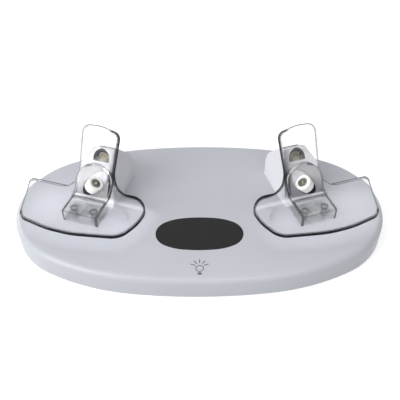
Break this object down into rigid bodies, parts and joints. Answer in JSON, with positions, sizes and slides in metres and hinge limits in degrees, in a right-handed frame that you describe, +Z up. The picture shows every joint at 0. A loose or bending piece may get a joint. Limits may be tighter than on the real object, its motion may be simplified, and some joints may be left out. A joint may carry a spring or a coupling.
{
  "type": "controller charging station",
  "caption": "Flat oval desk stand with a soft mat, a touch light and a clear angled cradle with a round magnetic charging contact at each side.",
  "frame": {"origin": "middle of the footprint, on the table under the rubber feet", "axes": "+X to the right along the long side, +Z up, the touch area and mat at the front look along -Y"},
  "size_m": [0.277, 0.151, 0.0758],
  "materials": {
    "barrel_white": "smooth",
    "black_plastic": "plain",
    "board_green": "solder mask",
    "brass": "turned",
    "clear_plastic": "clear polished plastic",
    "coil_dark": "ferrite",
    "copper": "thin copper pad",
    "gold_pin": "plated",
    "lead_white": "insulation",
    "led_yellow": "lens",
    "mat_dark": "soft matt",
    "nickel": "plated",
    "plate_grey": "fine texture",
    "post_white": "smooth moulded plastic",
    "rubber_grey": "soft matt",
    "shell_white": "satin moulded plastic",
    "steel": "plain"
  },
  "bodies": {
    "base": {"base_bottom_plate": "plate_grey", "base_screws": "steel", "base_top_shell": "shell_white", "board_screws": "steel", "charge_chip": "black_plastic", "coil_block": "coil_dark", "left_contact_barrel": "barrel_white", "left_contact_insulator": "black_plastic", "left_contact_ring": "nickel", "left_cradle": "clear_plastic", "left_cradle_screws": "steel", "left_lead": "lead_white", "left_led_board": "board_green", "left_leds": "led_yellow", "left_pin_sleeve": "brass", "left_post": "post_white", "left_post_insert": "nickel", "left_post_insert_screw": "brass", "left_post_screws": "steel", "main_board": "board_green", "mat": "mat_dark", "right_contact_barrel": "barrel_white", "right_contact_insulator": "black_plastic", "right_contact_ring": "nickel", "right_cradle": "clear_plastic", "right_cradle_screws": "steel", "right_lead": "lead_white", "right_led_board": "board_green", "right_leds": "led_yellow", "right_pin_sleeve": "brass", "right_post": "post_white", "right_post_insert": "nickel", "right_post_insert_screw": "brass", "right_post_screws": "steel", "rubber_foot_front_left": "rubber_grey", "rubber_foot_front_right": "rubber_grey", "rubber_foot_rear_left": "rubber_grey", "rubber_foot_rear_right": "rubber_grey", "socket_shell": "steel", "socket_tongue": "black_plastic", "touch_electrode": "copper"},
    "left_pin": {"left_contact_pin": "gold_pin"},
    "right_pin": {"right_contact_pin": "gold_pin"}
  },
  "joints": [
    {"name": "left_pin_press", "type": "slide", "parent": "base", "child": "left_pin", "axis": [-0.5617, 0.2456, -0.7901], "range_m": [0, 0.0007], "stiffness_N_per_m": 600, "springref_m": -0.0006},
    {"name": "right_pin_press", "type": "slide", "parent": "base", "child": "right_pin", "axis": [0.5617, 0.2456, -0.7901], "range_m": [0, 0.0007], "stiffness_N_per_m": 600, "springref_m": -0.0006}
  ]
}
